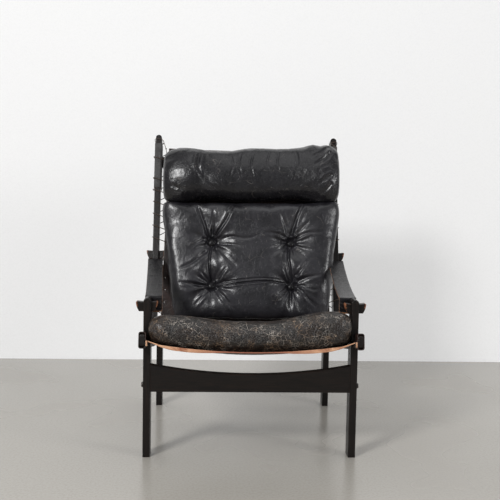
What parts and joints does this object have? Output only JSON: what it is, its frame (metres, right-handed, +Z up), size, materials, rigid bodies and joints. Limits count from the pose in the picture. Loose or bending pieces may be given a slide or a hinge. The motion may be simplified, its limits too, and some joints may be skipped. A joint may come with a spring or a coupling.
{
  "type": "safari chair",
  "caption": "High-backed safari lounge chair: black wooden knock-down frame, laced leather back sling, leather seat sling, arm straps, stuffed leather seat, back and head cushions.",
  "frame": {"origin": "on the floor under the middle of the bounding box of the whole chair", "axes": "+Z up, -Y the way the chair faces, +X to the right of someone who stands in front of it"},
  "size_m": [0.7078, 0.7218, 1.0026],
  "materials": {
    "ebonised_wood": "satin black stain, worn at the edges",
    "bare_wood": "bare beech",
    "waxed_cord": "waxed twisted cord",
    "charcoal_leather": "aged soft leather, wrinkled",
    "brown_leather": "worn soft leather with tan cracks",
    "saddle_leather": "thick dyed saddle leather, tan flesh side",
    "strap_leather": "satin thick strap leather",
    "dark_steel": "darkened steel"
  },
  "bodies": {
    "frame": {"arm_strap_left": "strap_leather", "arm_strap_right": "strap_leather", "barrel_nuts": "dark_steel", "front_arm_peg_left": "ebonised_wood", "front_arm_peg_right": "ebonised_wood", "front_leg_left": "ebonised_wood", "front_leg_right": "ebonised_wood", "front_stretcher": "ebonised_wood", "pivot_bolt_left": "dark_steel", "pivot_bolt_right": "dark_steel", "pivot_nut_left": "dark_steel", "pivot_nut_right": "dark_steel", "rail_bolts": "dark_steel", "rail_nuts": "dark_steel", "rail_washers": "dark_steel", "rear_leg_left": "ebonised_wood", "rear_leg_right": "ebonised_wood", "rear_stretcher": "ebonised_wood", "seat_cushion": "brown_leather", "seat_rail_left": "ebonised_wood", "seat_rail_right": "ebonised_wood", "seat_sling": "saddle_leather", "strap_leg_screws": "dark_steel", "stretcher_bolts": "dark_steel", "stretcher_dowels": "bare_wood", "stretcher_washers": "dark_steel"},
    "back": {"back_cushion": "charcoal_leather", "back_dowels": "bare_wood", "back_lacing_bottom_left": "waxed_cord", "back_lacing_bottom_right": "waxed_cord", "back_lacing_middle_left": "waxed_cord", "back_lacing_middle_right": "waxed_cord", "back_lacing_top_left": "waxed_cord", "back_lacing_top_right": "waxed_cord", "back_post_left": "ebonised_wood", "back_post_right": "ebonised_wood", "back_sling": "saddle_leather", "front_buttons": "charcoal_leather", "head_cushion": "charcoal_leather", "head_tie_left": "waxed_cord", "head_tie_right": "waxed_cord", "lower_back_rail": "ebonised_wood", "post_sleeve_left": "saddle_leather", "post_sleeve_right": "saddle_leather", "rear_arm_peg_left": "ebonised_wood", "rear_arm_peg_right": "ebonised_wood", "rear_buttons": "charcoal_leather", "strap_peg_screws": "dark_steel", "upper_back_rail": "ebonised_wood"}
  },
  "joints": [
    {"name": "back_hinge", "type": "hinge", "parent": "frame", "child": "back", "pos_m": [0, 0.12392, 0.28105], "axis": [1, 0, 0], "range_deg": [0, 12], "deforming": ["arm_strap_left", "arm_strap_right"]}
  ]
}
